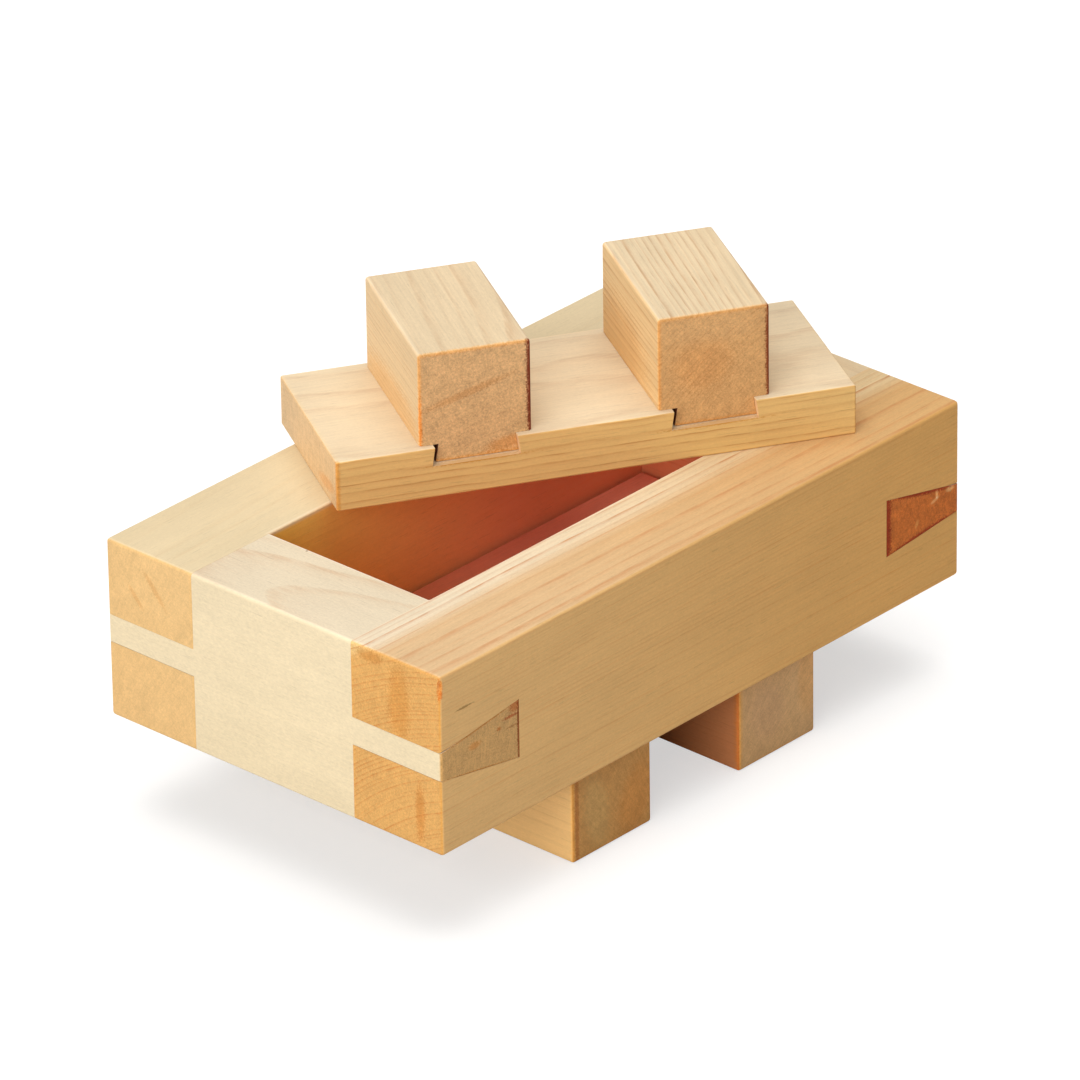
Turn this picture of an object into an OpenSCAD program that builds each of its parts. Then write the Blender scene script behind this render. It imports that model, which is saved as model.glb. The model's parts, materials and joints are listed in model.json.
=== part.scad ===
// Three-part wooden box mould: a dovetailed frame, a loose floor on two foot bars,
// and a press lid with two grip bars. Every piece is a separate block of wood.
// The floor fills the frame from below, the frame rests on the foot bars, and the
// lid lies askew across the top of the frame. X runs along the frame, +Z is up.

/* [Frame] */
// Length of the frame over its end faces
frame_l = 200; // [180:1:260]
// Width of the frame over its side faces
frame_w = 115; // [105:1:150]
// Height of the frame
frame_h = 51; // [44:1:70]
// Thickness of the two long side boards
side_t = 30; // [24:1:32]
// Thickness of the two end boards
end_t = 29; // [24:1:32]

/* [Corner joints] */
// Height of a tongue where it shows in the end face, its narrow side
tongue_outer_h = 7.8; // [5:0.1:10]
// Height of a tongue at the cavity side of its end board, its wide side
tongue_inner_h = 16.5; // [12:0.1:20]
// How far the wide side lies below the middle of the frame's height
tongue_drop = 0.7; // [0:0.1:3]
// How far the left end's narrow side lies below the middle
left_dip = 0.1; // [0:0.1:3]
// How far the right end's narrow side lies below the middle
right_dip = 2.6; // [0:0.1:3]
// Gap round a tongue in its slot
joint_gap = 0.15; // [0.1:0.05:0.5]

/* [Plates] */
// Thickness of the floor plate and of the press plate
plate_t = 14; // [12:0.5:18]
// Gap between a plate and the walls of the cavity
plate_gap = 1.25; // [0.8:0.05:3]

/* [Bars] */
// Width of a foot bar or grip bar
bar_w = 30; // [27:1:32]
// Height of a bar outside its plate
bar_h = 26; // [20:1:36]
// Distance from the middle of a plate to the middle of each bar
bar_x = 32; // [28:0.5:38]
// How far a foot bar stops short of the frame's side faces
foot_inset = 4; // [0:0.5:10]
// How far a grip bar stops short of the press plate's long edges
grip_inset = 2; // [0.5:0.5:4]

/* [Bar dovetails] */
// Width of a bar's dovetail at its shoulders
tail_neck_w = 21.5; // [16:0.5:22]
// How much each side of the dovetail spreads
tail_flare = 0.8; // [0.2:0.1:2]
// Depth of the dovetail in the plate
tail_depth = 5; // [3:0.5:7]
// Gap at each side of the dovetail
tail_side_gap = 0.3; // [0.1:0.05:0.6]
// Gap under the dovetail
tail_end_gap = 0.5; // [0.2:0.1:1.5]

/* [Lid on the frame] */
// Turn of the lid on the frame
lid_turn = -31; // [-40:1:-10]
// Place of the lid's middle along the frame
lid_x = 22; // [0:1:24]
// Place of the lid's middle across the frame, towards its back
lid_y = 9; // [0:1:12]

/* [Hidden] */

left = -1;
right = 1;
front = -1;
rear = 1;
over = 1;             // how far a cut runs past the face it opens
cavity_l = frame_l - 2 * end_t;
cavity_w = frame_w - 2 * side_t;
plate_l = cavity_l - 2 * plate_gap;
plate_w = cavity_w - 2 * plate_gap;
foot_l = frame_w - 2 * foot_inset;
grip_l = plate_w - 2 * grip_inset;
frame_z = bar_h;      // the frame stands on the foot bars
lid_z = frame_z + frame_h;

// The lid's back corner hangs over the frame's rear face. The origin is on the
// ground under the middle of the whole, so the frame stands a little forward of it.
back_reach = lid_y + plate_l / 2 * sin(abs(lid_turn)) + plate_w / 2 * cos(lid_turn);
mid_y = -max(0, back_reach - frame_w / 2) / 2;

board_colour = [0.93, 0.79, 0.58];
end_colour = [0.97, 0.89, 0.71];
plate_colour = [0.90, 0.74, 0.52];
bar_colour = [0.92, 0.77, 0.57];

// Puts a shape of the standing frame or floor in place
module standing(z) {
    translate([0, mid_y, z]) children();
}

// Puts a shape of the lid, drawn with the plate's underside at zero, in place
module on_frame() {
    translate([lid_x, lid_y + mid_y, lid_z]) rotate([0, 0, lid_turn]) children();
}

// Runs an outline drawn in X and Z along Y, half to each side
module along_y(length) {
    rotate([90, 0, 0]) linear_extrude(height = length, center = true) children();
}

// Outline of a corner tongue from the end face at x = 0 inwards. It is wider at
// the cavity side, so the end board can't be pulled out of the frame's end.
module tongue_outline(dip, gap = 0, past = 0) {
    outer = tongue_outer_h / 2 + gap;
    inner = tongue_inner_h / 2 + gap;
    mid = frame_h / 2;
    polygon([
        [-past, mid - dip - outer],
        [0, mid - dip - outer],
        [end_t + gap, mid - tongue_drop - inner],
        [end_t + gap, mid - tongue_drop + inner],
        [0, mid - dip + outer],
        [-past, mid - dip + outer]
    ]);
}

// Moves a shape drawn from the left end face inwards to either end of the frame
module at_end(end) {
    mirror([end == right ? 1 : 0, 0, 0]) translate([-frame_l / 2, 0, 0]) children();
}

function end_dip(end) = end == left ? left_dip : right_dip;

// A long board with an open slot for a tongue in each end
module side_board(side) {
    standing(frame_z)
        difference() {
            translate([-frame_l / 2, side == front ? -frame_w / 2 : cavity_w / 2, 0])
                cube([frame_l, side_t, frame_h]);
            for (end = [left, right])
                at_end(end) along_y(frame_w + 2 * over)
                    tongue_outline(end_dip(end), joint_gap, over);
        }
}

// A short board whose tongues go right through both side boards
module end_board(end) {
    standing(frame_z) at_end(end)
        union() {
            translate([0, -cavity_w / 2, 0]) cube([end_t, cavity_w, frame_h]);
            along_y(frame_w) tongue_outline(end_dip(end));
        }
}

// Outline of a bar's dovetail below a shoulder at z = 0
module tail_outline(side_gap = 0, end_gap = 0, past = 0) {
    neck = tail_neck_w / 2 + side_gap;
    tip = neck + tail_flare;
    bottom = -tail_depth - end_gap;
    polygon([
        [-neck, past], [-neck, 0], [-tip, bottom],
        [tip, bottom], [neck, 0], [neck, past]
    ]);
}

// A plate from z = 0 up, with two dovetail grooves across its upper face
module grooved_plate() {
    difference() {
        translate([-plate_l / 2, -plate_w / 2, 0]) cube([plate_l, plate_w, plate_t]);
        for (x = [-bar_x, bar_x])
            translate([x, 0, plate_t]) along_y(plate_w + 2 * over)
                tail_outline(tail_side_gap, tail_end_gap, over);
    }
}

// The floor is the lid's plate upside down: its bars are the feet
module floor_part() {
    standing(frame_z + plate_t) mirror([0, 0, 1]) children();
}

// A bar that stands on a plate's upper face with its dovetail in the groove
module bar(x, length, tail_l) {
    translate([x, 0, plate_t])
        union() {
            translate([-bar_w / 2, -length / 2, 0]) cube([bar_w, length, bar_h]);
            along_y(tail_l) tail_outline();
        }
}

// A foot reaches out under the frame, so its dovetail stops at the plate's edges
module foot_bar(x) {
    floor_part() bar(x, foot_l, plate_w);
}

module grip_bar(x) {
    on_frame() bar(x, grip_l, grip_l);
}

module front_side_board() {
    color(board_colour) side_board(front);
}

module rear_side_board() {
    color(board_colour) side_board(rear);
}

module left_end_board() {
    color(end_colour) end_board(left);
}

module right_end_board() {
    color(end_colour) end_board(right);
}

module floor_plate() {
    color(plate_colour) floor_part() grooved_plate();
}

module left_foot_bar() {
    color(bar_colour) foot_bar(-bar_x);
}

module right_foot_bar() {
    color(bar_colour) foot_bar(bar_x);
}

module press_plate() {
    color(plate_colour) on_frame() grooved_plate();
}

module left_grip_bar() {
    color(bar_colour) grip_bar(-bar_x);
}

module right_grip_bar() {
    color(bar_colour) grip_bar(bar_x);
}

front_side_board();
rear_side_board();
left_end_board();
right_end_board();
floor_plate();
left_foot_bar();
right_foot_bar();
press_plate();
left_grip_bar();
right_grip_bar();
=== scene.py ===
import json
import math
import bmesh
import bpy
from mathutils import Matrix, Vector


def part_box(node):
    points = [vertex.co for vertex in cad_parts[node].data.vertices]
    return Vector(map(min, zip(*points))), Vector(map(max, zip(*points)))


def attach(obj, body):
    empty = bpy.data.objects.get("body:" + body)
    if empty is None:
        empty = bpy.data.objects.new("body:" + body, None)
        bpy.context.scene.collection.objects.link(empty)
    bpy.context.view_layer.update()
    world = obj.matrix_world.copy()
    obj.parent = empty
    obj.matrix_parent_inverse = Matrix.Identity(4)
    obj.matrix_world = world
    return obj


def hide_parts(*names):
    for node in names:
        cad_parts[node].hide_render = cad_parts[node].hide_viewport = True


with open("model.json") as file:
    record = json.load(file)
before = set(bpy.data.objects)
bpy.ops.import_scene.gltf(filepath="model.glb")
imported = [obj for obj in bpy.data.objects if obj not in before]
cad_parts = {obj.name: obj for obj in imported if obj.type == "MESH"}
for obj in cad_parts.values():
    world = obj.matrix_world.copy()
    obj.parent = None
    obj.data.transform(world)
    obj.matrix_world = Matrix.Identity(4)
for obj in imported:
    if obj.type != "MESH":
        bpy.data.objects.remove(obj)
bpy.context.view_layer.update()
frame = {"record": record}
mm = 0.001
quarter = math.pi / 2


# places and sizes, read from the frame
frameNodes = frame["record"]["behaviour"]["bodies"]["frame"]
frameLow = Vector(map(min, *(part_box(node)[0] for node in frameNodes)))
frameHigh = Vector(map(max, *(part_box(node)[1] for node in frameNodes)))
frameMid = (frameLow + frameHigh) / 2
endWall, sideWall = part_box("left_end_board")[1].x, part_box("front_side_board")[1].y
cavityHalf = Vector((frameMid.x - endWall, frameMid.y - sideWall, 0))
floorLow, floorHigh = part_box("floor_plate")
footLow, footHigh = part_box("left_foot_bar")
lidLow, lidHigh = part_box("press_plate")
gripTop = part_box("left_grip_bar")[1].z
plateSize = floorHigh - floorLow
barSize = Vector((footHigh.x - footLow.x, footHigh.y - footLow.y, gripTop - lidHigh.z))
barOffset = frameMid.x - (footLow.x + footHigh.x) / 2     # from a plate's middle to the middle of each bar
floorTop = Vector((frameMid.x, frameMid.y, floorHigh.z))
lidBottom = Vector(((lidLow.x + lidHigh.x) / 2, (lidLow.y + lidHigh.y) / 2, lidLow.z))


# small helpers round the operators

def clearSelection():
    if bpy.context.object and bpy.context.object.mode != "OBJECT":
        bpy.ops.object.mode_set(mode="OBJECT")
    bpy.ops.object.select_all(action="DESELECT")


def work(piece):
    clearSelection()
    bpy.context.view_layer.objects.active = piece
    piece.select_set(True)


def addBlock(name, low, high):
    clearSelection()
    low, high = Vector(low), Vector(high)
    bpy.ops.mesh.primitive_cube_add(size=1, location=(low + high) / 2, scale=high - low)
    block = bpy.context.object
    block.name = name
    bpy.ops.object.transform_apply(location=True, rotation=True, scale=True)
    return block


def pick(piece, kind, wanted):
    # opens the piece in edit mode with only the wanted verts, edges or faces selected
    work(piece)
    bpy.ops.object.mode_set(mode="EDIT")
    bpy.ops.mesh.select_mode(type={"verts": "VERT", "edges": "EDGE", "faces": "FACE"}[kind])
    bpy.ops.mesh.select_all(action="DESELECT")
    mesh = bmesh.from_edit_mesh(piece.data)
    for item in getattr(mesh, kind):
        if wanted(item):
            item.select_set(True)
    bmesh.update_edit_mesh(piece.data)


def backToObject():
    bpy.ops.object.mode_set(mode="OBJECT")


def score(piece, point, normal):
    # a line of edges all round the piece, where a plane passes through it
    pick(piece, "faces", lambda face: True)
    bpy.ops.mesh.bisect(plane_co=point, plane_no=normal)
    backToObject()


def cutAway(piece, cutter):
    work(piece)
    cut = piece.modifiers.new("cut", "BOOLEAN")
    cut.object = cutter
    cut.operation = "DIFFERENCE"
    cut.solver = "EXACT"
    bpy.ops.object.modifier_apply(modifier=cut.name)
    bpy.data.objects.remove(cutter)


def ease(piece, width, steps, wanted):
    pick(piece, "edges", wanted)
    bpy.ops.mesh.bevel(offset=width, segments=steps, profile=0.5, affect="EDGES", clamp_overlap=True)
    backToObject()


def near(a, b):
    return abs(a - b) < 0.02 * mm


def folded(edge, degrees):
    return len(edge.link_faces) == 2 and edge.calc_face_angle() > math.radians(degrees)


def onCorner(edge, low, high):
    # true for an edge that lies along one of the corners of a box
    a, b = (vert.co for vert in edge.verts)
    return sum(near(a[i], wall[i]) and near(b[i], wall[i]) for wall in (low, high) for i in range(3)) >= 2


def copyOf(piece, name):
    work(piece)
    bpy.ops.object.duplicate(linked=False)
    twin = bpy.context.object
    twin.name = name
    return twin


def place(piece, location, turn=0.0, upsideDown=False):
    # the place is baked into the mesh, so the object itself stays at the origin
    work(piece)
    flip = Matrix.Rotation(math.pi if upsideDown else 0.0, 4, "X")
    piece.matrix_world = Matrix.Translation(location) @ Matrix.Rotation(turn, 4, "Z") @ flip
    bpy.ops.object.transform_apply(location=True, rotation=True, scale=True)


def smooth(piece):
    work(piece)
    bpy.ops.object.shade_smooth_by_angle(angle=math.radians(60))
    flat = piece.modifiers.new("flat faces", "WEIGHTED_NORMAL")
    flat.keep_sharp = True
    bpy.ops.object.modifier_apply(modifier=flat.name)


# the four boards of the frame

joint = {
    "outerHeight": 7.8 * mm,     # height of a tongue in the end face
    "innerHeight": 16.5 * mm,    # and at its wide side
    "innerDrop": 0.7 * mm,       # how far the wide side lies below the middle
    "leftDip": 0.1 * mm,         # how far the narrow side does, at the left end
    "rightDip": 2.6 * mm,
    "gap": 0.07 * mm,            # the joint line round a tongue
    "eased": 0.05 * mm,
}

frameArris = {"outer": 1.0 * mm, "cavity": 0.6 * mm, "steps": 3}


def tongueLines(end, extra):
    # the upper and lower line of a tongue, each as its height at the end face and at the cavity side
    dip = joint["leftDip"] if end < 0 else joint["rightDip"]
    outer, inner = joint["outerHeight"] / 2 + extra, joint["innerHeight"] / 2 + extra
    return [(frameMid.z - dip + up * outer, frameMid.z - joint["innerDrop"] + up * inner) for up in (1, -1)]


def onCavityRim(edge):
    a, b = (vert.co - frameMid for vert in edge.verts)
    level = near(abs(a.z), frameHigh.z - frameMid.z) and near(a.z, b.z)
    past = 0.02 * mm
    alongX = all(near(abs(p.y), cavityHalf.y) and abs(p.x) < cavityHalf.x + past for p in (a, b))
    alongY = all(near(abs(p.x), cavityHalf.x) and abs(p.y) < cavityHalf.y + past for p in (a, b))
    return level and (alongX or alongY)


def easeFrameBoard(board):
    ease(board, frameArris["outer"], frameArris["steps"],
         lambda edge: folded(edge, 20) and onCorner(edge, frameLow, frameHigh))
    ease(board, frameArris["cavity"], frameArris["steps"],
         lambda edge: folded(edge, 20) and onCavityRim(edge))
    ease(board, joint["eased"], 1, lambda edge: folded(edge, 60))


def sideBoard(name, low, high):
    board = addBlock(name, low, high)
    past = 2 * mm
    for end in (-1, 1):
        face = frameMid.x + end * (frameHigh.x - frameMid.x)
        wall = frameMid.x + end * (cavityHalf.x - joint["gap"])
        lines = tongueLines(end, joint["gap"])
        # the slot starts as a flat block, whose corners then move to the tongue's lines
        slot = addBlock("slot", (min(face, wall), low.y - past, 0), (max(face, wall), high.y + past, mm))
        for corner in slot.data.vertices:
            line = lines[0 if corner.co.z > mm / 2 else 1]
            corner.co.z = line[0 if near(corner.co.x, face) else 1]
        pick(slot, "faces", lambda f: f.normal.x * end > 0.9)
        bpy.ops.mesh.extrude_region_move(TRANSFORM_OT_translate={"value": (end * past, 0, 0)})
        backToObject()
        cutAway(board, slot)
        score(board, (frameMid.x + end * cavityHalf.x, 0, 0), (1, 0, 0))
    easeFrameBoard(board)
    return board


def endBoard(name, low, high, end):
    inner = cavityHalf.y
    board = addBlock(name, (low.x, frameMid.y - inner, low.z), (high.x, frameMid.y + inner, high.z))
    face = high.x if end > 0 else low.x
    lines = tongueLines(end, 0.0)
    for outerHeight, innerHeight in lines:
        slope = Vector((-end * (high.x - low.x), 0, innerHeight - outerHeight))
        score(board, (face, frameMid.y, outerHeight), slope.cross(Vector((0, 1, 0))).normalized())
    middle = (lines[0][1] + lines[1][1]) / 2
    for side in (-1, 1):
        pick(board, "faces", lambda f: f.normal.y * side > 0.9
             and abs(f.calc_center_median().z - middle) < joint["outerHeight"] / 2)
        reach = side * (high.y - frameMid.y - inner)
        bpy.ops.mesh.extrude_region_move(TRANSFORM_OT_translate={"value": (0, reach, 0)})
        backToObject()
    easeFrameBoard(board)
    return board


# plates and bars, drawn round the origin with the plate's far side at zero and its bars above

tail = {
    "neck": 20.45 * mm, "flare": 0.8 * mm, "depth": 5 * mm,  # the dovetail under each bar
    "middle": 0.4 * mm,                                      # to the right of the bar's own middle
    "gapLeft": 1.5 * mm, "gapRight": 0.05 * mm,              # it is driven over to one side of its groove
    "gapUnder": 0.12 * mm,
    "eased": 0.12 * mm,
}

plateArris = {"width": 0.5 * mm, "steps": 3}
barArris = {"width": 0.9 * mm, "steps": 4}


def groovedPlate(name):
    half, past = plateSize / 2, 2 * mm
    low, high = Vector((-half.x, -half.y, 0)), Vector((half.x, half.y, plateSize.z))
    plate = addBlock(name, low, high)
    bottom = plateSize.z - tail["depth"] - tail["gapUnder"]
    for offset in (tail["middle"] - barOffset, tail["middle"] + barOffset):
        left = offset - tail["neck"] / 2 - tail["gapLeft"]
        right = offset + tail["neck"] / 2 + tail["gapRight"]
        groove = addBlock("groove", (left, -half.y - past, bottom), (right, half.y + past, plateSize.z))
        for corner in groove.data.vertices:
            if near(corner.co.z, bottom):
                corner.co.x += tail["flare"] if corner.co.x > offset else -tail["flare"]
        pick(groove, "faces", lambda f: f.normal.z > 0.9)
        bpy.ops.mesh.extrude_region_move(TRANSFORM_OT_translate={"value": (0, 0, past)})
        backToObject()
        cutAway(plate, groove)
    ease(plate, plateArris["width"], plateArris["steps"],
         lambda edge: folded(edge, 20) and onCorner(edge, low, high))
    ease(plate, tail["eased"], 1, lambda edge: folded(edge, 60)
         and not all(near(vert.co.z, bottom) for vert in edge.verts))
    return plate


def dovetailBar(name, length, tailLength):
    shoulder = plateSize.z
    low = Vector((-barSize.x / 2, -length / 2, shoulder))
    high = Vector((barSize.x / 2, length / 2, shoulder + barSize.z))
    bar = addBlock(name, low, high)
    neck = tail["neck"] / 2
    for side in (-1, 1):
        score(bar, (tail["middle"] + side * neck, 0, 0), (1, 0, 0))
        if tailLength < length:
            score(bar, (0, side * tailLength / 2, 0), (0, 1, 0))
    pick(bar, "faces", lambda f: f.normal.z < -0.9 and f.calc_center_median().xy.length < mm)
    bpy.ops.mesh.extrude_region_move(TRANSFORM_OT_translate={"value": (0, 0, -tail["depth"])})
    bpy.ops.transform.resize(value=((neck + tail["flare"]) / neck, 1, 1),
                             center_override=(tail["middle"], 0, shoulder - tail["depth"]))
    backToObject()
    ease(bar, barArris["width"], barArris["steps"], lambda edge: folded(edge, 20)
         and onCorner(edge, low, high) and not all(near(v.co.z, shoulder) for v in edge.verts))
    ease(bar, tail["eased"], 1, lambda edge: folded(edge, 60))
    return bar


# node helpers for the wood

def paint(red, green, blue):
    # a colour as a paint chart gives it, 0 to 255
    return [((c / 255 + 0.055) / 1.055) ** 2.4 if c > 10 else c / 3295 for c in (red, green, blue)] + [1.0]


def feed(tree, socket, value):
    if isinstance(value, bpy.types.NodeSocket):
        tree.links.new(value, socket)
    else:
        socket.default_value = value


def calc(tree, operation, first, second=0.0):
    node = tree.nodes.new("ShaderNodeMath")
    node.operation = operation
    feed(tree, node.inputs[0], first)
    feed(tree, node.inputs[1], second)
    return node.outputs[0]


def total(tree, first, *others):
    for other in others:
        first = calc(tree, "ADD", first, other)
    return first


def product(tree, first, *others):
    for other in others:
        first = calc(tree, "MULTIPLY", first, other)
    return first


def vectorCalc(tree, operation, first, second=None, scale=None):
    node = tree.nodes.new("ShaderNodeVectorMath")
    node.operation = operation
    feed(tree, node.inputs[0], first)
    if second is not None:
        feed(tree, node.inputs[1], second)
    if scale is not None:
        feed(tree, node.inputs["Scale"], scale)
    return node.outputs["Value" if operation in ("LENGTH", "DOT_PRODUCT") else "Vector"]


def stretch(tree, vector, scale, location=(0, 0, 0), rotation=(0, 0, 0)):
    node = tree.nodes.new("ShaderNodeMapping")
    feed(tree, node.inputs["Vector"], vector)
    node.inputs["Location"].default_value = location
    node.inputs["Rotation"].default_value = rotation
    node.inputs["Scale"].default_value = scale
    return node.outputs[0]


def objectPlace(tree):
    return tree.nodes.new("ShaderNodeTexCoord").outputs["Object"]


def split(tree, vector):
    node = tree.nodes.new("ShaderNodeSeparateXYZ")
    feed(tree, node.inputs[0], vector)
    return node.outputs


def join(tree, x, y, z):
    node = tree.nodes.new("ShaderNodeCombineXYZ")
    for socket, value in zip(node.inputs, (x, y, z)):
        feed(tree, socket, value)
    return node.outputs[0]


def noise(tree, vector, detail=2.0, roughness=0.5, output=0):
    node = tree.nodes.new("ShaderNodeTexNoise")
    feed(tree, node.inputs["Vector"], vector)
    node.inputs["Scale"].default_value = 1.0
    node.inputs["Detail"].default_value = detail
    node.inputs["Roughness"].default_value = roughness
    return node.outputs[output]


def lineNoise(tree, value):
    node = tree.nodes.new("ShaderNodeTexNoise")
    node.noise_dimensions = "1D"
    feed(tree, node.inputs["W"], value)
    node.inputs["Scale"].default_value = 1.0
    node.inputs["Detail"].default_value = 1.0
    return node.outputs[0]


def spread(tree, value, fromLow, fromHigh, toLow=0.0, toHigh=1.0, kind="SMOOTHSTEP"):
    node = tree.nodes.new("ShaderNodeMapRange")
    node.interpolation_type = kind
    for socket, number in zip(node.inputs[:5], (value, fromLow, fromHigh, toLow, toHigh)):
        feed(tree, socket, number)
    return node.outputs[0]


def varied(tree, value, amount, about=0.0):
    # noise turned into so much more or less than a number
    return spread(tree, value, 0.3, 0.7, about - amount, about + amount, "LINEAR")


def within(tree, axis, reach, soft):
    # one inside a distance from the middle, fading to nought over the last soft millimetres
    return spread(tree, calc(tree, "ABSOLUTE", axis), reach - soft, reach, 1, 0)


def mixColour(tree, amount, first, second, kind="MIX"):
    node = tree.nodes.new("ShaderNodeMix")
    node.data_type = "RGBA"
    node.blend_type = kind
    feed(tree, node.inputs[0], amount)
    feed(tree, node.inputs[6], first)
    feed(tree, node.inputs[7], second)
    return node.outputs[2]


def tinted(tree, amount, colour, tint):
    return mixColour(tree, amount, colour, (*tint, 1), "MULTIPLY")


def ramp(tree, value, stops):
    node = tree.nodes.new("ShaderNodeValToRGB")
    feed(tree, node.inputs[0], value)
    elements = node.color_ramp.elements
    elements[0].position, elements[1].position = stops[0][0], stops[-1][0]
    for position, _ in stops[1:-1]:
        elements.new(position)
    for element, (_, level) in zip(elements, stops):
        element.color = (level, level, level, 1)
    return node.outputs[0]


# wood: one tree, sawn at a different place for each piece

plainWood = {
    "pale": (225, 205, 166),      # young wood, away from the heart
    "deep": (216, 184, 138),      # wood nearer the heart
    "late": (196, 146, 98),       # the dark line that ends each year
    "pith": (30, -160),           # the tree's middle, mm across and up from the middle of the piece
    "heart": (40, -40),           # pale this many mm outside the piece's middle, deep this many inside
    "spacing": 1.8,               # mm from year to year
    "uneven": 1.6,                # how much the years differ
    "line": (0.05, 0.5),          # faintest and strongest year line
    "lean": (0.008, 0.012),       # how far the trunk leans along the piece
    "wander": 1.2, "swayRate": 0.01,   # how far the lines sway, mm, and how quickly
    "fibre": 0.06, "dash": 0.12, "cloud": 0.04, "mottle": 0.035,
    "farEnd": (1, 1, 1),          # what the colour comes to at the far end of the piece
    "flank": (1, 0.93, 0.84),     # the board's narrow sides
    "flankLine": 1.0,             # how much the year lines show there
    "endGrain": (0.93, 0.80, 0.62),
    "endLine": 0.5,               # how much of the year lines shows there
    "ray": 0.07,                  # streaks in the end grain, out from the tree's middle
    "rough": 0.08, "blotch": 0.05,   # its speckles and patches
    "edge": (1.04, 1.04, 1.04),   # painted highlight on the eased edges along the grain
    "endEdge": (1.03, 1, 0.94),   # and those round the end grain
    "cavity": False,              # whether some of it is in the cavity, and so takes the painted rim highlight and cavity shade
    "inside": (1.15, 0.93, 0.28),    # the painted shade in it, red-brown
    "insideFar": (1.34, 0.77, 0.7),  # and redder at its far end, where it also offsets the lid's shadow as painted light
    "rimHighlight": (1.1, 1.12, 1.2),      # painted highlight on the top edge all round the cavity
    "tailSide": 0,                # 1 for a bar with its dovetail on top, -1 for one with it underneath
    "grooved": False,             # whether it has the dovetail grooves
    "jointShade": (0.3, 0.16, 0.16),   # painted shade on the sides of the dovetails and grooves
    "marks": [],                  # stains and flecks: place and reach in mm, tilt, tint
    "seed": 0,
}

# noise patterns in the wood: how many to the mm along the grain, across and up, their detail and roughness
patterns = {
    "fibre": ((0.035, 1.5, 1.5), 5, 0.62),
    "speck": ((1.1, 2.2, 2.2), 3, 0.65),
    "dash": ((0.16, 3.2, 3.2), 1, 0.5),
    "cloud": ((0.03, 0.07, 0.07), 3, 0.6),
    "blotch": ((0.3, 0.4, 0.4), 3, 0.6),
    "break": ((0.12, 0.9, 0.9), 2, 0.5),     # gaps in the year lines
}

yearRise = [(0, 0), (0.4, 0.06), (0.7, 0.4), (0.86, 1), (0.95, 0.8), (1, 0)]     # how a year darkens
bareFinish = {"roughness": (0.58, 0.72), "gloss": 0.15, "relief": 0.35, "reliefDepth": 0.08 * mm}

# where the painted cavity shade and the painted rim highlight fade out, in mm
cavityFades = {
    "wall": (0.05, 0.45),         # the painted shade, beyond a wall's face
    "wallTop": (-1.6, -0.4),      # and below the frame's top
    "wallBottom": (8, 13),        # and above the floor plate's underside
    "rimHighlight": (0.4, 1.1),            # the painted rim highlight, beyond a wall's face
    "rimHighlightTop": (-0.5, -0.2),       # and below the frame's top
    "farFrom": 20,                # the far end's red is full from here on, right of the middle
}


def pattern(tree, shifted, name):
    scale, detail, roughness = patterns[name]
    return noise(tree, stretch(tree, shifted, scale), detail, roughness)


def grainPlace(tree, piece, turn, seed):
    # millimetres from the piece's middle, the first axis along the grain; the same shifted by the seed for
    # the patterns; and half the piece's size
    straight = Matrix.Rotation(-turn, 3, "Z")
    corners = [straight @ vert.co / mm for vert in piece.data.vertices]
    low, high = (Vector(map(limit, *corners)) for limit in (min, max))
    spot = stretch(tree, objectPlace(tree), (1 / mm,) * 3, -(low + high) / 2, (0, 0, -turn))
    shifted = stretch(tree, spot, (1, 1, 1), [seed * shift for shift in (37, 11, 23)])
    return spot, shifted, (high - low) / 2


def fromPith(tree, spot, shifted, look):
    # how far a point is from the tree's middle, across and up, with the trunk's lean and its slow sway
    along, *sides = split(tree, spot)
    sway = noise(tree, stretch(tree, shifted, (look["swayRate"], 0.03, 0.03)), 2, 0.5, 1)
    sway = vectorCalc(tree, "SUBTRACT", sway, (0.5,) * 3)
    sway = vectorCalc(tree, "SCALE", sway, scale=look["wander"] * 2)
    offsets = []
    for axis, pith, lean, drift in zip(sides, look["pith"], look["lean"], split(tree, sway)[1:]):
        leaning = total(tree, axis, product(tree, along, lean), drift)
        offsets.append(calc(tree, "SUBTRACT", leaning, pith))
    return offsets


def facings(tree, turn):
    # how squarely the surface faces along the grain, and across it
    normal = tree.nodes.new("ShaderNodeNewGeometry").outputs["Normal"]
    grainWay, crossWay = (math.cos(turn), math.sin(turn), 0), (-math.sin(turn), math.cos(turn), 0)
    return [spread(tree, calc(tree, "ABSOLUTE", vectorCalc(tree, "DOT_PRODUCT", normal, way)), 0.3, 0.8)
            for way in (grainWay, crossWay)]


def yearLines(tree, radius, shifted, look):
    # each year darkens slowly and ends in a thin dark line, broken here and there
    jitter = product(tree, lineNoise(tree, product(tree, radius, 0.23)), look["uneven"])
    years = total(tree, calc(tree, "DIVIDE", radius, look["spacing"]), jitter)
    season = ramp(tree, calc(tree, "FRACT", years), yearRise)
    year = tree.nodes.new("ShaderNodeTexWhiteNoise")
    year.noise_dimensions = "1D"
    feed(tree, year.inputs["W"], calc(tree, "FLOOR", years))
    strength = spread(tree, year.outputs["Value"], 0, 1, *look["line"], "LINEAR")
    broken = spread(tree, pattern(tree, shifted, "break"), 0.35, 0.65, 0.4, 1)
    return season, product(tree, season, strength, broken)


def surfaceShade(tree, fibre, speck, shifted, look):
    # fibres, cloudy patches and fine mottling, less the short dark dashes
    fibres = spread(tree, fibre, 0.25, 0.75, 1 - look["fibre"], 1 + look["fibre"], "LINEAR")
    clouds = varied(tree, pattern(tree, shifted, "cloud"), look["cloud"])
    dashes = spread(tree, pattern(tree, shifted, "dash"), 0.64, 0.76, 0, look["dash"])
    shade = total(tree, fibres, clouds, varied(tree, speck, look["mottle"]))
    return calc(tree, "SUBTRACT", shade, dashes)


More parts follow.
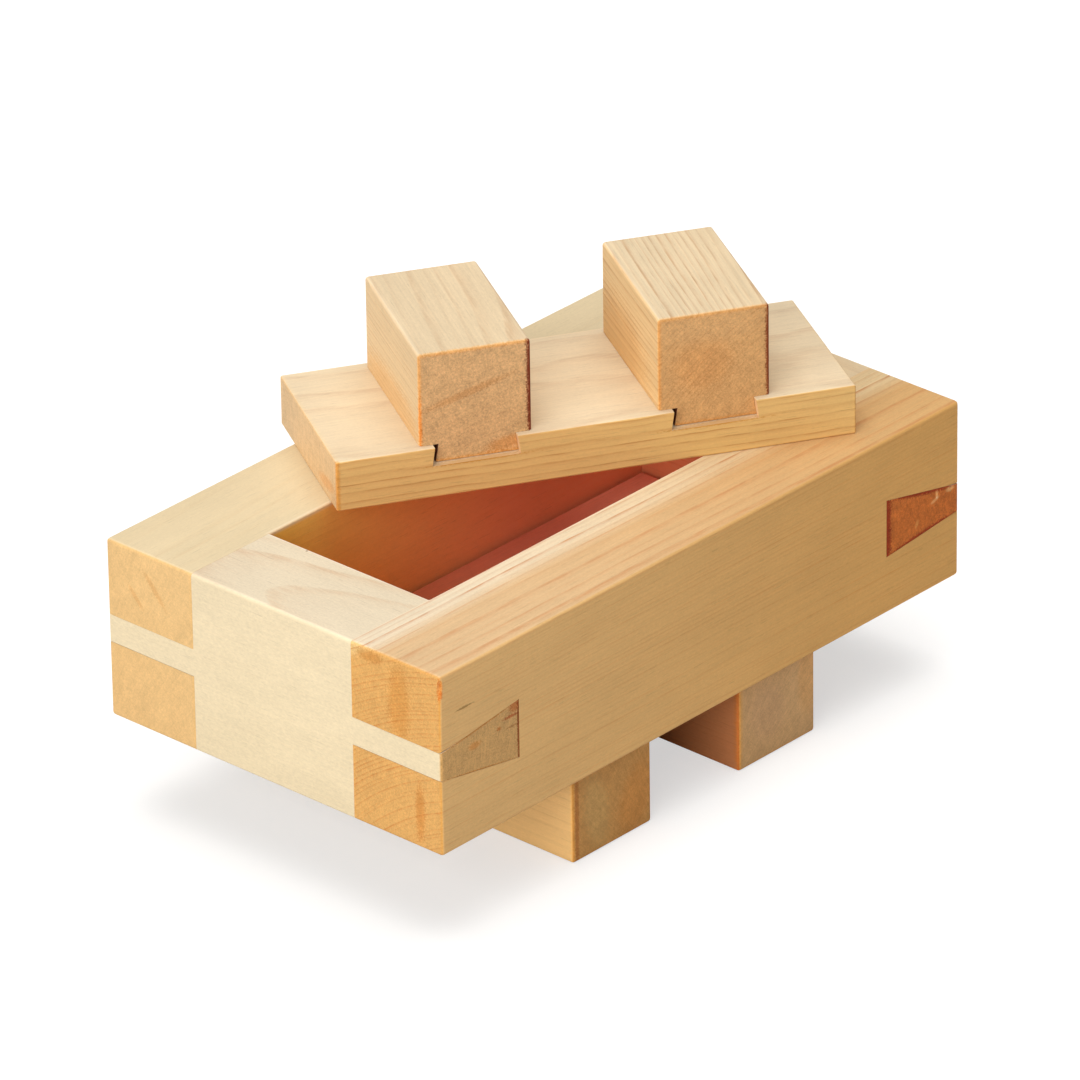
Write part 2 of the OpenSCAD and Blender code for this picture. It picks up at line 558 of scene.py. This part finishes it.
def endGrain(tree, colour, radius, offsets, speck, shifted, look):
    # darker and warmer, with rays that run out from the tree's middle
    roundTree = product(tree, calc(tree, "ARCTAN2", *offsets), Vector(look["pith"]).length)
    ray = noise(tree, stretch(tree, join(tree, roundTree, radius, look["seed"]), (1.6, 0.12, 1)), 3, 0.6)
    pores = total(tree, varied(tree, ray, look["ray"]), varied(tree, speck, look["rough"], 1.0),
                  varied(tree, pattern(tree, shifted, "blotch"), look["blotch"]))
    return vectorCalc(tree, "SCALE", tinted(tree, 1.0, colour, look["endGrain"]), scale=pores)


def withMarks(tree, colour, spot, speck, marks):
    # stains and flecks, each with a ragged outline
    for middle, reach, tilt, tint in marks:
        level = Matrix.Rotation(tilt, 3, "X")
        away = stretch(tree, spot, (1, 1, 1), -(level @ Vector(middle)), (tilt, 0, 0))
        away = vectorCalc(tree, "LENGTH", stretch(tree, away, [1 / r for r in reach]))
        away = total(tree, away, varied(tree, speck, 0.3))
        colour = tinted(tree, spread(tree, away, 0.5, 1.2, 1, 0), colour, tint)
    return colour


def edgeHighlightsAndEndEdges(tree, colour, spot, half, speck, look):
    # a painted highlight along the eased edges that run with the grain, and a tint round the end grain
    along, across, up = (calc(tree, "SUBTRACT", reach, calc(tree, "ABSOLUTE", axis))
                         for axis, reach in zip(split(tree, spot), half))
    alongGrain = calc(tree, "MAXIMUM", across, up)
    roundEnd = calc(tree, "MAXIMUM", along, calc(tree, "MINIMUM", across, up))
    for fromEdge, tint in ((alongGrain, look["edge"]), (roundEnd, look["endEdge"])):
        fromEdge = total(tree, fromEdge, varied(tree, speck, 0.4))
        colour = tinted(tree, spread(tree, fromEdge, 0.3, 1.2, 1, 0), colour, tint)
    return colour


def cavityRimHighlightAndShade(tree, colour, look):
    # painted highlight on the cavity's rim, and painted shade on the walls and floor in it
    x, y, z = split(tree, stretch(tree, objectPlace(tree), (1 / mm,) * 3, -frameMid / mm))
    beyond = [calc(tree, "SUBTRACT", calc(tree, "ABSOLUTE", axis), reach / mm)
              for axis, reach in ((x, cavityHalf.x), (y, cavityHalf.y))]
    outside = calc(tree, "MAXIMUM", *beyond)
    fromTop = calc(tree, "SUBTRACT", z, (frameHigh.z - frameMid.z) / mm)
    fromBottom = calc(tree, "SUBTRACT", z, (floorLow.z - frameMid.z) / mm)
    onRimHighlight = product(tree, spread(tree, outside, *cavityFades["rimHighlight"], 1, 0),
                    spread(tree, fromTop, *cavityFades["rimHighlightTop"]))
    inCavityShade = product(tree, spread(tree, outside, *cavityFades["wall"], 1, 0),
                     spread(tree, fromTop, *cavityFades["wallTop"], 1, 0),
                     spread(tree, fromBottom, *cavityFades["wallBottom"]))
    toFar = spread(tree, x, -cavityHalf.x / mm, cavityFades["farFrom"], 0, 1, "LINEAR")
    paintedShade = mixColour(tree, toFar, (*look["inside"], 1), (*look["insideFar"], 1))
    return mixColour(tree, inCavityShade, tinted(tree, onRimHighlight, colour, look["rimHighlight"]), paintedShade, "MULTIPLY")


def shadedJoint(tree, colour, spot, half, ending, look):
    # painted shade on the hidden sides of the dovetails and grooves
    along, across, up = split(tree, spot)
    if look["tailSide"]:
        shoulder = half.z - tail["depth"] / mm
        inTail = spread(tree, product(tree, up, look["tailSide"]), shoulder + 0.1, shoulder + 0.3)
        hidden = product(tree, within(tree, along, half.x - 0.2, 0.2), calc(tree, "SUBTRACT", 1, ending))
        colour = tinted(tree, product(tree, inTail, hidden), colour, look["jointShade"])
    if look["grooved"]:
        behindGrips = within(tree, across, half.y - 2.2, 0.3)
        hidden = product(tree, within(tree, along, half.x - 0.8, 0.2), behindGrips)
        colour = tinted(tree, product(tree, hidden, ending), colour, look["jointShade"])
    return colour


def woodSurface(tree, shader, fibre, season, speck):
    roughness = spread(tree, fibre, 0.3, 0.7, *bareFinish["roughness"], "LINEAR")
    feed(tree, shader.inputs["Roughness"], roughness)
    shader.inputs["Specular IOR Level"].default_value = bareFinish["gloss"]
    bump = tree.nodes.new("ShaderNodeBump")
    bump.inputs["Strength"].default_value = bareFinish["relief"]
    bump.inputs["Distance"].default_value = bareFinish["reliefDepth"]
    relief = total(tree, product(tree, fibre, 0.8), product(tree, season, 0.5), product(tree, speck, 0.5))
    feed(tree, bump.inputs["Height"], relief)
    feed(tree, shader.inputs["Normal"], bump.outputs[0])


def wood(name, piece, turn, changes):
    look = {**plainWood, **changes}
    material = bpy.data.materials.new(name)
    material.use_nodes = True
    tree = material.node_tree
    shader = tree.nodes["Principled BSDF"]
    spot, shifted, half = grainPlace(tree, piece, turn, look["seed"])
    offsets = fromPith(tree, spot, shifted, look)
    radius = vectorCalc(tree, "LENGTH", join(tree, 0, *offsets))
    ending, flanking = facings(tree, turn)
    fibre, speck = pattern(tree, shifted, "fibre"), pattern(tree, shifted, "speck")

    # the colour of a long face: from heart to outside, with the year lines and the fibres
    outward = calc(tree, "SUBTRACT", radius, Vector(look["pith"]).length)
    colour = mixColour(tree, spread(tree, outward, look["heart"][1], look["heart"][0]),
                       paint(*look["deep"]), paint(*look["pale"]))
    season, lateness = yearLines(tree, radius, shifted, look)
    lateness = product(tree, lateness, spread(tree, ending, 0, 1, 1, look["endLine"], "LINEAR"),
                       spread(tree, flanking, 0, 1, 1, look["flankLine"], "LINEAR"))
    colour = mixColour(tree, lateness, colour, paint(*look["late"]))
    colour = vectorCalc(tree, "SCALE", colour, scale=surfaceShade(tree, fibre, speck, shifted, look))
    colour = tinted(tree, spread(tree, split(tree, spot)[0], -half.x, half.x), colour, look["farEnd"])
    colour = tinted(tree, flanking, colour, look["flank"])

    colour = mixColour(tree, ending, colour, endGrain(tree, colour, radius, offsets, speck, shifted, look))
    colour = withMarks(tree, colour, spot, speck, look["marks"])
    colour = edgeHighlightsAndEndEdges(tree, colour, spot, half, speck, look)
    if look["cavity"]:
        colour = cavityRimHighlightAndShade(tree, colour, look)
    colour = shadedJoint(tree, colour, spot, half, ending, look)
    feed(tree, shader.inputs["Base Color"], colour)
    woodSurface(tree, shader, fibre, season, speck)
    piece.data.materials.clear()
    piece.data.materials.append(material)


def finishPiece(piece, node, body, turn, look):
    smooth(piece)
    wood(piece.name + "Wood", piece, turn, look)
    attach(piece, body)
    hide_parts(node)


# side boards: the rear one is the front one mirrored

frontSideBoard = {
    "pale": (236, 220, 192), "deep": (222, 188, 144), "late": (202, 134, 84),
    "pith": (-42, -80), "heart": (27, 24), "spacing": 1.15, "line": (0.15, 1.0), "lean": (0.006, 0.004),
    "wander": 0.6, "mottle": 0.05, "flank": (1.08, 0.98, 0.73), "flankLine": 0.4,
    "farEnd": (0.92, 0.81, 0.62), "endGrain": (0.92, 0.74, 0.43), "endLine": 0.75, "ray": 0.03,
    "cavity": True, "seed": 1,
    "marks": [
        ((-100, 9, 23.5), (2, 5, 2), 0, (0.88, 0.76, 0.62)),         # a dark patch high in the near end
        ((-100, -1, 13), (3, 4, 12), 0, (0.95, 0.84, 0.68)),
        ((-100, -7.7, -15.5), (3, 1.8, 9), 0, (0.92, 0.76, 0.6)),    # a streak low in it
        ((-91, -15, 13.6), (3.5, 1, 0.35), 0, (0.55, 0.5, 0.42)),    # a dash beside the joint
        ((-100, -15, 21.5), (1.2, 1, 3.6), 0, (0.95, 0.5, 0.25)),    # the chipped corner
        ((100, -15, 0), (0.7, 0.7, 60), 0, (1.15, 0.85, 0.65)),      # the far edge
    ],
}
rearSideBoard = {
    "pale": (226, 207, 170), "deep": (224, 202, 162), "late": (212, 180, 134), "line": (0.02, 0.3),
    "pith": (50, -90), "spacing": 2.2, "fibre": 0.03, "endGrain": (0.97, 0.78, 0.55), "ray": 0.04,
    "rough": 0.06, "cavity": True, "seed": 2,
    "marks": [
        ((-100, -2, 16), (2, 1, 6), 0.7, (0.93, 0.84, 0.76)),        # two slanting streaks in the near end
        ((-100, 5, 12), (2, 0.8, 4), 0.7, (0.93, 0.84, 0.76)),
    ],
}
chip = {
    "place": Vector((-100.2, -15.3, 21.5)) * mm,     # from the front board's middle
    "size": (1.2, 1.2, 3.6), "tilt": (0.1, 0.12, 0.5),
}


def mirroredBoard(board, name):
    # the same board on the other side of the frame
    twin = copyOf(board, name)
    pick(twin, "faces", lambda face: True)
    bpy.ops.transform.resize(value=(1, -1, 1), center_override=frameMid)
    bpy.ops.mesh.normals_make_consistent(inside=False)
    backToObject()
    return twin


def chipCorner(board, boardMid):
    clearSelection()
    bpy.ops.mesh.primitive_ico_sphere_add(subdivisions=3, radius=mm, location=boardMid + chip["place"],
                                          scale=chip["size"], rotation=chip["tilt"])
    cutAway(board, bpy.context.object)


frontLow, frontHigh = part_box("front_side_board")
front = sideBoard("frontSideBoard", frontLow, frontHigh)
rear = mirroredBoard(front, "rearSideBoard")
chipCorner(front, (Vector(frontLow) + Vector(frontHigh)) / 2)
finishPiece(front, "front_side_board", "frame", 0.0, frontSideBoard)
finishPiece(rear, "rear_side_board", "frame", 0.0, rearSideBoard)
print("side boards done")


# end boards: their tongues pass right through the side boards

def tongueStains(end, tint, innerTint, width):
    # marks along the outline of the tongues' end grain, which glue has darkened, on both sides of the frame
    low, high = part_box("left_end_board" if end < 0 else "right_end_board")
    half = (high - low) / 2 / mm
    stains = []
    for side in (-1, 1):
        for outerHeight, innerHeight in tongueLines(end, 0.0):
            outer, inner = ((height - frameMid.z) / mm for height in (outerHeight, innerHeight))
            tilt = -math.atan2(outer - inner, -end * 2 * half.x)
            tilt = (tilt + quarter) % math.pi - quarter
            stains.append(((side * half.y, 0, (outer + inner) / 2), (1, half.x, width), tilt, tint))
        innerEdge = (side * half.y, end * half.x, -joint["innerDrop"] / mm)
        stains.append((innerEdge, (1, 2 * width, joint["innerHeight"] / mm), 0, innerTint))
    return stains


leftEndBoard = {
    "pale": (229, 214, 187), "deep": (228, 212, 183), "late": (206, 164, 124), "line": (0.05, 0.5),
    "pith": (6, -60), "spacing": 1.5, "lean": (0.02, 0.05), "fibre": 0.03, "mottle": 0.07,
    "flank": (0.98, 0.96, 0.88), "flankLine": 0.15,
    "endGrain": (0.80, 0.55, 0.29), "rough": 0.12, "blotch": 0.08,
    "edge": (1.07, 1.07, 1.08), "cavity": True, "seed": 3,
    "marks": [
        *tongueStains(-1, (0.88, 0.64, 0.42), (0.5, 0.26, 0.2), 0.4),
        ((-57.5, -13, 6.4), (2, 2.4, 2), 0, (0.9, 0.58, 0.46)),       # reddish corner of the near tongue
        ((-57.5, -11.5, 4), (1, 3.2, 0.5), 0, (0.8, 0.45, 0.4)),
        ((-57.5, -12, 1), (1, 2.6, 0.3), 0, (0.78, 0.66, 0.6)),       # and short dark cracks
        ((-57.5, -7, 2.2), (1, 0.9, 0.6), 0, (0.9, 0.6, 0.45)),
        ((-57.5, 2, 1.2), (1, 2.5, 1.2), 0, (1, 0.8, 0.62)),
        ((13.7, -13.7, 25.5), (0.35, 0.6, 1), 0, (0.55, 0.5, 0.45)),  # one fleck on the top
    ],
}
rightEndBoard = {
    "pale": (230, 208, 172), "deep": (224, 196, 150), "line": (0.05, 0.5),
    "pith": (-20, -60), "spacing": 2.2, "endGrain": (0.76, 0.27, 0.083), "rough": 0.18, "blotch": 0.16,
    "cavity": True, "seed": 4,
    "marks": [
        *tongueStains(1, (0.6, 0.3, 0.3), (0.55, 0.25, 0.25), 1.0),
        ((-57.5, -11, 1.2), (1, 1.8, 0.9), 0, (1.4, 2.6, 5)),         # pale flecks in the far tongue
        ((-57.5, -5, 0.2), (1, 2, 0.6), 0.3, (1.35, 2.2, 4)),
        ((-57.5, -5.6, 1.8), (1, 0.6, 1.4), 0, (1.4, 2.4, 4.4)),
        ((-57.5, 2.4, -4), (1, 0.7, 1.4), -0.4, (1.2, 1.7, 2.2)),
    ],
}

for name, node, end, look in (("leftEndBoard", "left_end_board", -1, leftEndBoard),
                              ("rightEndBoard", "right_end_board", 1, rightEndBoard)):
    finishPiece(endBoard(name, *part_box(node), end), node, "frame", quarter, look)
print("end boards done")


# floor: a plate with its two bars as feet, upside down

floorPlate = {
    "pith": (10, -120), "spacing": 2.8, "line": (0.1, 0.6),
    # the painted cavity shade on its top
    "inside": (0.9, 0.44, 0.3), "insideFar": (1.22, 0.56, 0.6),
    "cavity": True, "grooved": True, "seed": 5,
}
leftFootBar = {
    "pale": (246, 208, 148), "deep": (242, 202, 140), "pith": (-40, -60), "line": (0.02, 0.3),
    "endGrain": (0.64, 0.49, 0.34), "blotch": 0.1,
    "edge": (1.02, 0.98, 0.84), "endEdge": (1.1, 0.98, 0.72), "tailSide": 1, "seed": 6,
    "marks": [
        ((-53.5, 6, -4), (2, 5, 12), 0.15, (1.02, 1.14, 1.25)),      # a grey-green cloud in the near end
        ((-53.5, -9, -6), (2, 7, 12), -0.3, (1.04, 0.92, 0.8)),
        ((-53.5, 13.4, 0), (2, 0.8, 30), 0, (0.84, 0.66, 0.56)),     # and a brown line beside its edge
    ],
}
rightFootBar = {
    "pale": (224, 190, 142), "deep": (218, 182, 132), "pith": (50, -50), "line": (0.02, 0.3),
    # its flanks are painted darker: shade, where the left foot keeps the light off its left face
    "flank": (0.72, 0.41, 0.32), "endGrain": (0.90, 0.80, 0.72), "blotch": 0.08,
    "edge": (1.1, 0.9, 0.66), "endEdge": (1.14, 0.98, 0.66), "tailSide": 1, "seed": 7,
    "marks": [
        ((-53.5, 4, -2), (2, 8, 10), 0.3, (0.97, 0.96, 1.02)),
        ((-53.5, -12, 2), (2, 4, 12), 0, (1.06, 0.98, 0.86)),
        ((-53.5, 15, 0), (1.8, 1.8, 30), 0, (1.1, 1.0, 0.76)),       # a painted highlight on its near edge
    ],
}

floorBoard = groovedPlate("floorPlate")
lidBoard = copyOf(floorBoard, "pressPlate")
place(floorBoard, floorTop, 0.0, True)
finishPiece(floorBoard, "floor_plate", "base", 0.0, floorPlate)

leftFoot = dovetailBar("leftFootBar", barSize.y, plateSize.y)
rightFoot = copyOf(leftFoot, "rightFootBar")
for bar, node, side, look in ((leftFoot, "left_foot_bar", -1, leftFootBar),
                              (rightFoot, "right_foot_bar", 1, rightFootBar)):
    place(bar, floorTop + Vector((side * barOffset, 0, 0)), 0.0, True)
    finishPiece(bar, node, "base", quarter, look)
print("floor and feet done")


# lid: the same plate with shorter bars to hold it by, laid askew on the frame

lid = {"turn": math.radians(-31), "gripInset": 2 * mm}
pressPlate = {
    "pale": (234, 215, 183), "deep": (233, 211, 176), "late": (178, 122, 76), "line": (0.12, 0.3),
    "pith": (-12, -110), "spacing": 2.2, "uneven": 0.9, "lean": (0.002, 0.003),
    "wander": 1.4, "swayRate": 0.03, "fibre": 0.05, "dash": 0.16,
    "flank": (0.88, 0.70, 0.39), "flankLine": 2.2, "endGrain": (0.98, 0.83, 0.67),
    "edge": (1.06, 1.04, 1), "grooved": True, "seed": 8,
    "marks": [
        ((-69.7, -17, -3), (2, 8, 2), 0.15, (1, 0.84, 0.7)),
        ((-69.75, -26.25, 0), (1.1, 1.1, 30), 0, (0.94, 0.76, 0.54)),     # the near corner
        *[((side * barOffset / mm, -26, 1.9), (15, 2, 0.5), 0, (0.86, 0.7, 0.5))     # painted shade at the grooves' near ends
          for side in (-1, 1)],
    ],
}
leftGripBar = {
    "pale": (230, 208, 173), "deep": (228, 204, 166), "late": (190, 142, 98),
    "pith": (-28, -92), "spacing": 1.15, "line": (0.08, 0.5), "fibre": 0.09, "mottle": 0.05,
    "flank": (1.04, 0.97, 0.87), "endGrain": (0.82, 0.65, 0.48), "rough": 0.16, "blotch": 0.1, "ray": 0.05,
    "edge": (1.06, 1.08, 1.14), "endEdge": (1.06, 0.84, 0.58), "tailSide": -1, "seed": 9,
    "marks": [
        ((-24, 2, 3), (3, 14, 1.2), 0.3, (0.92, 0.82, 0.72)),        # a streak across the near end
        ((-24, -8, -13), (2, 6, 2.2), 0.2, (0.98, 0.8, 0.62)),
        ((0, 15, -9), (30, 2, 8), 0, (1, 0.88, 0.74)),               # warmer low on the left side
        ((-24.25, 14.7, -4), (0.9, 0.6, 9), 0, (1.1, 0.84, 0.6)),
        ((-24.25, -15, 3), (1.5, 1.5, 30), 0, (0.34, 0.14, 0.15)),   # painted shade: a dark line down the right edge, which is turned from the light
    ],
}
rightGripBar = {
    "pale": (231, 210, 175), "deep": (229, 204, 165), "late": (190, 140, 94),
    "pith": (-60, -66), "spacing": 1.2, "line": (0.12, 0.75), "fibre": 0.1,
    "flank": (1.03, 0.92, 0.73), "endGrain": (0.77, 0.56, 0.36), "rough": 0.12, "blotch": 0.1, "ray": 0.05,
    "edge": (1.06, 1.06, 1.1), "endEdge": (1.04, 0.88, 0.68), "tailSide": -1, "seed": 10,
    "marks": [
        ((-24, 2, 11), (2, 16, 5), 0, (1.06, 1.08, 1.12)),           # paler high in the near end
        ((-24, 3, 1), (2, 9, 8), 0, (1, 0.92, 0.84)),
        ((8, 15, -6), (26, 2, 12), 0, (0.95, 0.84, 0.72)),
        # painted shade: a dark line down the right edge, turned from the light
        ((-24.25, -15, 3), (1.3, 1.3, 30), 0, (0.42, 0.2, 0.18)),
    ],
}

place(lidBoard, lidBottom, lid["turn"])
finishPiece(lidBoard, "press_plate", "lid", lid["turn"], pressPlate)

gripLength = plateSize.y - 2 * lid["gripInset"]
leftGrip = dovetailBar("leftGripBar", gripLength, gripLength)
rightGrip = copyOf(leftGrip, "rightGripBar")
for bar, node, side, look in ((leftGrip, "left_grip_bar", -1, leftGripBar),
                              (rightGrip, "right_grip_bar", 1, rightGripBar)):
    sideways = Matrix.Rotation(lid["turn"], 3, "Z") @ Vector((side * barOffset, 0, 0))
    place(bar, lidBottom + sideways, lid["turn"])
    finishPiece(bar, node, "lid", lid["turn"] + quarter, look)
print("lid done")


# floor, light and camera

studio = {
    "floor": 0.4, "floorGlow": 0.57,     # how pale the floor is, and how much light it gives off itself
    "sky": 0.3,
    "lights": [
        {"name": "overheadLight", "place": (0.1, 0.1, 2.7), "size": 2.6, "power": 51},
        {"name": "leftLight", "place": (-2.25, -0.6, 0.95), "size": 2.0, "power": 52},
    ],
    "lightColour": (1, 0.975, 0.94),
}


def addFloor(lightness, glow):
    clearSelection()
    bpy.ops.mesh.primitive_plane_add(size=8, location=(0, 0, 0))
    ground = bpy.context.object
    ground.name = "studioFloor"
    material = bpy.data.materials.new("studioWhite")
    material.use_nodes = True
    shader = material.node_tree.nodes["Principled BSDF"]
    shader.inputs["Base Color"].default_value = (lightness, lightness, lightness, 1)
    shader.inputs["Roughness"].default_value = 0.9
    shader.inputs["Emission Color"].default_value = (1, 1, 1, 1)
    shader.inputs["Emission Strength"].default_value = glow
    ground.data.materials.append(material)
    onlyFloor = bpy.data.collections.new("onlyFloor")     # the glow is linked to the floor alone
    onlyFloor.objects.link(ground)
    ground.light_linking.receiver_collection = onlyFloor


def addSky(strength):
    world = bpy.data.worlds.new("studio")
    world.use_nodes = True
    world.node_tree.nodes["Background"].inputs["Color"].default_value = (1, 1, 1, 1)
    world.node_tree.nodes["Background"].inputs["Strength"].default_value = strength
    bpy.context.scene.world = world


def addLight(settings):
    clearSelection()
    bpy.ops.object.light_add(type="AREA", location=settings["place"])
    lamp = bpy.context.object
    lamp.name = settings["name"]
    lamp.data.shape = "SQUARE"
    lamp.data.size = settings["size"]
    lamp.data.energy = settings["power"]
    lamp.data.color = studio["lightColour"]
    lamp.rotation_euler = (frameMid - Vector(settings["place"])).to_track_quat("-Z", "Y").to_euler()


shot = {
    "turn": -47.59, "height": 27.61, "roll": -0.827,   # degrees
    "distance": 2.8, "lens": 361.8,                    # metres, mm
    "right": 0.48 * mm, "up": 4.19 * mm,               # from the frame's middle
}


def addCamera():
    turn, height, roll = (math.radians(shot[key]) for key in ("turn", "height", "roll"))
    back = Vector((math.sin(turn) * math.cos(height), -math.cos(turn) * math.cos(height), math.sin(height)))
    right = Vector((math.cos(turn), math.sin(turn), 0))
    up = back.cross(right)
    spot = frameMid + back * shot["distance"] + right * shot["right"] + up * shot["up"]
    clearSelection()
    bpy.ops.object.camera_add(location=spot)
    camera = bpy.context.object
    camera.data.lens = shot["lens"]
    camera.data.sensor_width = 36
    camera.data.clip_end = 50
    rolledRight = right * math.cos(roll) + up * math.sin(roll)
    rolledUp = up * math.cos(roll) - right * math.sin(roll)
    facing = Matrix((rolledRight, rolledUp, back)).transposed().to_4x4()
    camera.matrix_world = Matrix.Translation(spot) @ facing
    bpy.context.scene.camera = camera


addFloor(studio["floor"], studio["floorGlow"])
addSky(studio["sky"])
for settings in studio["lights"]:
    addLight(settings)
addCamera()
bpy.context.scene.view_settings.view_transform = "Standard"
print("studio done")
